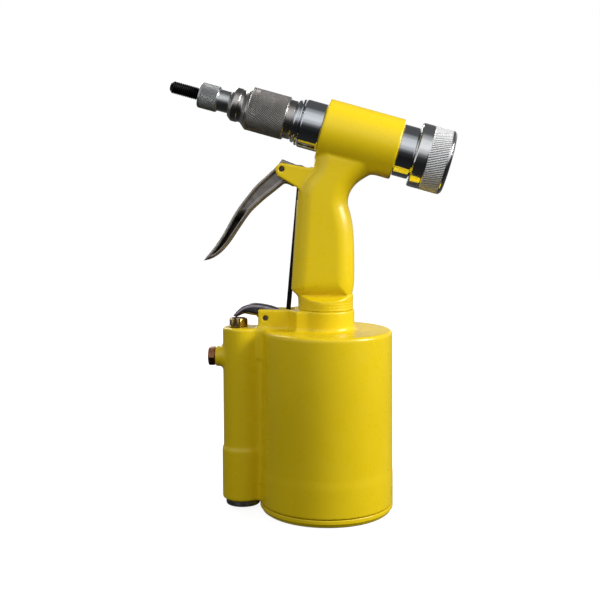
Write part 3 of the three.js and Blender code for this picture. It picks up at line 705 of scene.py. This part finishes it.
def rocker_casting(p):
    """Curved lever, thinner towards the tip that presses the valve."""
    x, y, z = p
    edge = outline_field(x, z, ROCKER_OUTLINE)
    half = 3.7 - 1.55 * np.clip((-49 - x) / 5, 0, 1)
    lever = blend_in(edge, np.abs(y) - half, 2.6)
    rod_slot = np.maximum(np.abs(y) - 1.9, -29.6 - x)
    pivot = np.hypot(x - ROCKER_PIVOT[0], z - ROCKER_PIVOT[1]) - 1.9
    rod_pin = np.hypot(x - ROD_BOTTOM[0], z - ROD_BOTTOM[1]) - 1.75
    for hole, rounding in ((rod_slot, 0.4), (pivot, 0.3), (rod_pin, 0.3)):
        lever = blend_in(lever, -hole, rounding)
    return lever


def rod_forging(p):
    """Round rod with an eye at each end."""
    x, y, z = p
    top, bottom = np.array([ROD_TOP[0], 0, ROD_TOP[1]]), np.array([ROD_BOTTOM[0], 0, ROD_BOTTOM[1]])
    along = top - bottom
    t = np.clip(sum((p[i] - bottom[i]) * along[i] for i in range(3)) / (along @ along), 0, 1)
    rod = np.sqrt(sum((p[i] - bottom[i] - t * along[i]) ** 2 for i in range(3))) - 1.5
    for end in (top, bottom):
        ring = np.hypot(x - end[0], z - end[2])
        rod = blend_out(rod, blend_in(ring - 3, np.abs(y) - 1.6, 0.5), 0.8)
    for end in (top, bottom):
        rod = blend_in(rod, -(np.hypot(x - end[0], z - end[2]) - 1.9), 0.3)
    return rod


def skin_node(name, field, node, steps):
    """Skins a field on a grid that fits round a CAD node."""
    low, high = node_mm(node)
    spans = [stations((low[i] - 3.6 * steps[i], high[i] + 3.6 * steps[i], steps[i])) for i in range(3)]
    return skin(name, field, *spans)


def cast_steel():
    """Sand-cast steel. The lower part of its web, inside the rim, is darkened to near black in the base colour as
    painted shade.
    """
    material, tree, principled, where = shader("cast_lever_steel", (0.24, 0.215, 0.20), 1, 0.42)
    mottle = grain(tree, where, 260, 5)
    tint(tree, principled, spread(tree, mottle, 0, 1), (0.42, 0.375, 0.34), (0.56, 0.51, 0.465))
    skin_colour = principled.inputs["Base Color"].links[0].from_socket
    # Painted shade: the base colour fades to near black down the web, where this attribute is high.
    painted_shade_node = tree.nodes.new("ShaderNodeAttribute")
    painted_shade_node.attribute_name = "painted_web_shade"
    tint(tree, principled, painted_shade_node.outputs["Fac"], (0, 0, 0), (0.045, 0.040, 0.034))
    tree.links.new(skin_colour, principled.inputs["Base Color"].links[0].from_node.inputs[6])
    tree.links.new(spread(tree, mottle, 0.34, 0.44), principled.inputs["Roughness"])
    emboss(tree, principled, grain(tree, where, 1500, 3), 0.00006, 0.35)
    return material


def wiped_metal(name, dark, light, roughness, scale=300):
    """Bare machined or polished metal with a film of oil."""
    material, tree, principled, where = shader(name, light, 1, roughness)
    film = grain(tree, where, scale, 4)
    tint(tree, principled, spread(tree, film, 0, 1), dark, light)
    tree.links.new(spread(tree, film, roughness * 0.8, roughness * 1.25), principled.inputs["Roughness"])
    emboss(tree, principled, grain(tree, where, scale * 7, 2), 0.00003, 0.2)
    return material


lever_steel = cast_steel()
polished = wiped_metal("polished_lever_steel", (0.25, 0.22, 0.25), (0.42, 0.38, 0.42), 0.22)
trigger = skin_node("trigger_casting", trigger_casting, "trigger_lever", (0.45, 0.4, 0.45))
points = np.empty(len(trigger.data.vertices) * 3)
trigger.data.vertices.foreach_get("co", points)
x, y, z = points.reshape(-1, 3).T / MM
# Painted shade: a mask that is high on the web inside the rim, more so lower down, where the trigger should look
# dark.
inside_rim = np.clip((-1.6 - outline_field(x, z, TRIGGER_OUTLINE)) / 0.6, 0, 1)
below_side = np.clip((4.6 - np.abs(y)) / 1.6, 0, 1)
painted_web_shade = inside_rim * below_side * np.clip((194 - z) / 7, 0, 1)
trigger.data.attributes.new("painted_web_shade", "FLOAT", "POINT").data.foreach_set("value", painted_web_shade)
finish_piece(trigger, lever_steel, "trigger", "cast_lever", "trigger_lever")
rocker = skin_node("rocker_casting", rocker_casting, "rocker_lever", (0.35, 0.35, 0.35))
finish_piece(rocker, polished, "rocker", "polished_steel", "rocker_lever")
rod = skin_node("pull_rod_forging", rod_forging, "pull_rod", (0.35, 0.35, 0.4))
finish_piece(rod, black_oxide, "pull_rod", "black_oxide", "pull_rod")

pin_steel = wiped_metal("pin_steel", (0.09, 0.068, 0.055), (0.18, 0.14, 0.115), 0.5)
for node, (x, z), body in (
    ("trigger_pivot_pin", (PIVOT[0], PIVOT[2]), "frame"),
    ("rod_top_pin", ROD_TOP, "trigger"),
    ("rod_bottom_pin", ROD_BOTTOM, "rocker"),
    ("rocker_pivot_pin", ROCKER_PIVOT, "frame"),
):
    half = node_mm(node)[1][1]
    across = Matrix.Translation((x * MM, 0, z * MM)) @ Matrix.Rotation(math.pi / 2, 4, "X")
    pin = turned("turned_" + node, [(0, -half), (1.1, -half), (1.45, -half + 0.35), (1.45, half - 0.35),
                                    (1.1, half), (0, half)], across, 32)
    finish_piece(pin, pin_steel, body, "pin_steel", node)


# ---- Base cover, valve fittings and fill screw ---------------------------------------------------------
# The enamelled cover plate closes the air cylinder from below and stands on the bench. The valve housing
# has a brass hexagon nut on top, a bronze inlet bushing at its side and a plug under its foot.

COVER_R = node_mm("base_cover")[1][0]
cover = turned("base_cover_plate", [
    (0, 1.2), (30.5, 1.2), (31.7, 0), (39.4, 0), (40.6, 0.25), (41.6, 0.95), (42.15, 1.9), (COVER_R, 3.0),
    (COVER_R, 4.9), (COVER_R - 0.2, 5.25), (COVER_R - 0.6, 5.4), (36.8, 5.4), (36.8, 6.8), (34.4, 6.8),
    (34.4, 9), (36.8, 9), (36.8, 9.6), (36.4, 10), (0, 10),
], columns=192)
finish_piece(cover, enamel, "frame", "yellow_paint", "base_cover")

brass = wiped_metal("brass", (0.40, 0.26, 0.07), (0.62, 0.43, 0.15), 0.2)
bronze = wiped_metal("sintered_bronze", (0.22, 0.085, 0.035), (0.40, 0.17, 0.075), 0.34, 500)
plug_metal = wiped_metal("plug_metal", (0.20, 0.19, 0.17), (0.38, 0.36, 0.33), 0.38)
NUT_TOP = node_mm("valve_top_nut")[1][2]
upright = Matrix.Translation((VALVE_X * MM, 0, 0)) @ Matrix.Rotation(math.radians(-15), 4, "Z")
nut = turned("brass_top_nut", [
    (4.8, 112), (4.8, 118.1), (5.5, 118.3), (6.3, 118.65, 10.8), (6.3, NUT_TOP - 0.75, 10.8),
    (5.4, NUT_TOP - 0.05, 10.8), (5.2, NUT_TOP), (4.75, NUT_TOP), (4.6, NUT_TOP - 0.2),
    (4.6, NUT_TOP - 4.2), (2.15, NUT_TOP - 4.2), (2.15, 112),
], upright)
finish_piece(nut, brass, "frame", "brass", "valve_top_nut")

FACE = INLET_FACE_X
sideways = Matrix.Translation((0, 0, INLET_Z * MM)) @ Matrix.Rotation(math.pi / 2, 4, "Y")
sideways = sideways @ Matrix.Rotation(math.pi / 6, 4, "Z")
bushing = turned("inlet_bushing_hexagon", [
    (3.3, FACE - 4.7), (4.7, FACE - 4.7), (5.5, FACE - 4.5, 11.2), (6.4, FACE - 3.9, 11.2),
    (6.4, FACE - 0.6, 11.2), (5.6, FACE - 0.3, 11.2), (4.6, FACE - 0.3),
    *[(4.6 if i % 2 else 4.2, FACE + 0.2 + i * 0.5) for i in range(8)], (4.6, FACE + 4.2), (3.3, FACE + 4.2),
    *[(3.3 if i % 2 else 3.65, FACE + 3.8 - i * 0.6) for i in range(13)],
], sideways)
finish_piece(bushing, bronze, "frame", "bronze", "inlet_bushing")

below = Matrix.Translation((HOUSING_X * MM, 0, 0))
plug = turned("valve_bottom_plug_turned", [
    (0, 4.4), (3.3, 4.4, 6), (3.3, 2.5, 6), (3.9, 2.2), (10, 2.2), (10.6, 2.4), (11, 3), (11, 5.5),
    (10.7, 5.9), (8.6, 6), (8.6, 9), (0, 9),
], below)
finish_piece(plug, plug_metal, "frame", "plug_metal", "valve_bottom_plug")

fill_point = BARREL @ Matrix.Translation((0, 0, 6.5 * MM)) @ Matrix.Rotation(-math.pi / 2, 4, "X")
steel = wiped_metal("machined_steel", (0.32, 0.31, 0.30), (0.52, 0.51, 0.50), 0.3)
fill_screw = turned("oil_fill_screw_turned", [
    (0, 14.7), (2.0, 14.7), (2.4, 15.1), (2.4, 19.1), (4.1, 19.1), (4.4, 19.35), (4.4, 21.6), (4.1, 22),
    (2.1, 22), (1.75, 21.8, 3), (1.75, 20, 3), (0, 20),
], fill_point, 48)
finish_piece(fill_screw, steel, "frame", "machined_steel", "oil_fill_screw")
washer = turned("oil_fill_washer_turned", [
    (2.7, 18.15), (2.75, 18.1), (4.45, 18.1), (4.6, 18.25), (4.6, 18.65), (4.45, 18.8), (2.75, 18.8),
    (2.7, 18.75),
], fill_point, 48)
finish_piece(washer, brass, "frame", "brass", "oil_fill_washer")


# ---- Inner parts ---------------------------------------------------------------------------------------
# Pistons, seals, springs, sleeve and tube inside the castings. They are machined parts bought in or turned
# to size, and keep the frame's own shapes.

rubber, rubber_tree, rubber_shader, rubber_where = shader("black_rubber", (0.018, 0.018, 0.018), 0, 0.55)
tint(rubber_tree, rubber_shader, grain(rubber_tree, rubber_where, 700), (0.010,) * 3, (0.026,) * 3)
emboss(rubber_tree, rubber_shader, grain(rubber_tree, rubber_where, 4000, 1), 0.00002, 0.4)
aluminium = wiped_metal("turned_aluminium", (0.52, 0.53, 0.54), (0.68, 0.69, 0.70), 0.32)
spring_steel = wiped_metal("spring_steel", (0.16, 0.16, 0.17), (0.30, 0.30, 0.31), 0.35, 600)
INNER = {
    "black_rubber": rubber, "aluminium": aluminium, "spring_steel": spring_steel, "machined_steel": steel,
    "brass": brass, "bronze": bronze, "chrome": chrome,
}
for part in frame["record"]["subparts"]:
    node = frame["nodes"][part["node"]]
    if not node.hide_render:
        for holder in node.material_slots:
            holder.material = INNER[part["material_slot"]]


# ---- Studio --------------------------------------------------------------------------------------------
# A pale floor for the gun to stand on, a large soft key from the upper right, a weak fill from the left,
# and a dim world whose light walls, a high one in front and a low one behind, put bands into the chrome.

MIDDLE = (0, 0, 0.14)                  # of the gun; the area lights face it


def put(name, data, place, aim):
    """A lamp or camera in its place, looking at a point."""
    holder = bpy.data.objects.new(name, data)
    holder.location = place
    holder.rotation_euler = (Vector(aim) - Vector(place)).to_track_quat("-Z", "Y").to_euler()
    bpy.context.scene.collection.objects.link(holder)
    return holder


def area_light(name, place, size, power):
    """A square lamp."""
    light = bpy.data.lights.new(name, "AREA")
    light.size = size
    light.energy = power
    return put(name, light, place, MIDDLE)


SKY = (
    (-180, 0.10), (-95, 0.02), (-30, 0.012), (-10, 0.03), (-1, 0.14), (12, 0.55), (28, 0.86), (50, 0.74),
    (68, 0.38), (86, 0.10), (130, 0.10), (150, 0.12), (168, 0.45), (180, 0.8),
)


def sky():
    """White to the eye. To the gun it is a dim room with a long light wall in front, above eye level, and a
    low one behind. The angle of a direction about the X axis picks its brightness: 0 is level in front, 90
    is overhead."""
    world = bpy.data.worlds.new("studio")
    world.use_nodes = True
    tree = world.node_tree
    background = tree.nodes["Background"]
    apart = tree.nodes.new("ShaderNodeSeparateXYZ")
    tree.links.new(tree.nodes.new("ShaderNodeTexCoord").outputs["Generated"], apart.inputs[0])
    forward = tree.nodes.new("ShaderNodeMath")
    forward.operation = "MULTIPLY"
    forward.inputs[1].default_value = -1
    tree.links.new(apart.outputs["Y"], forward.inputs[0])
    angle = tree.nodes.new("ShaderNodeMath")
    angle.operation = "ARCTAN2"
    tree.links.new(apart.outputs["Z"], angle.inputs[0])
    tree.links.new(forward.outputs[0], angle.inputs[1])
    turn = tree.nodes.new("ShaderNodeMapRange")
    turn.inputs["From Min"].default_value = -math.pi
    turn.inputs["From Max"].default_value = math.pi
    tree.links.new(angle.outputs[0], turn.inputs["Value"])
    ramp = tree.nodes.new("ShaderNodeValToRGB")
    ramp.color_ramp.interpolation = "EASE"
    tree.links.new(turn.outputs["Result"], ramp.inputs["Fac"])
    stops = ramp.color_ramp.elements
    for degrees, grey in SKY[1:-1]:
        stops.new((degrees + 180) / 360).color = (grey * 0.97, grey, grey * 1.03, 1)
    stops[0].color = (SKY[0][1],) * 3 + (1,)
    stops[-1].color = (SKY[-1][1],) * 3 + (1,)
    mix = tree.nodes.new("ShaderNodeMix")
    mix.data_type = "RGBA"
    mix.inputs[7].default_value = (1, 1, 1, 1)
    tree.links.new(tree.nodes.new("ShaderNodeLightPath").outputs["Is Camera Ray"], mix.inputs[0])
    tree.links.new(ramp.outputs["Color"], mix.inputs[6])
    tree.links.new(mix.outputs[2], background.inputs["Color"])
    return world


paper = shader("white_paper", (0.3,) * 3, 0, 0.9, Emission_Color=(1, 1, 1, 1), Emission_Strength=0.88)[0]
sheet = bpy.data.meshes.new("floor")
sheet.from_pydata([(-1.5, -1.5, 0), (1.5, -1.5, 0), (1.5, 1.5, 0), (-1.5, 1.5, 0)], [], [(0, 1, 2, 3)])
sheet.materials.append(paper)
floor = bpy.data.objects.new("floor", sheet)
floor.visible_glossy = False
floor.visible_diffuse = False
bpy.context.scene.collection.objects.link(floor)
bpy.context.scene.world = sky()
bpy.context.scene.view_settings.view_transform = "Standard"
area_light("key", (0.96, -0.25, 0.62), 0.5, 13.5)
area_light("fill", (-0.55, -0.85, 0.45), 0.4, 1.0).visible_glossy = False
area_light("top", (0.05, 0.3, 1.2), 0.7, 3.4).visible_glossy = False
area_light("behind", (-0.6, 1.0, 0.7), 0.7, 6)

spot = bpy.data.lights.new("handle_spot", "SPOT")
spot.energy = 8
spot.spot_size = math.radians(12)
spot.spot_blend = 0.5
spot.shadow_soft_size = 0.05
put("handle_spot", spot, (-0.1, -1.0, 0.45), (-0.01, 0, 0.205)).visible_glossy = False

lens = bpy.data.cameras.new("camera")
lens.lens = 60.6
lens.sensor_width = 36
bpy.context.scene.camera = put("camera", lens, (0.024, -0.636, 0.2114), (-0.0172, 0, 0.1355))
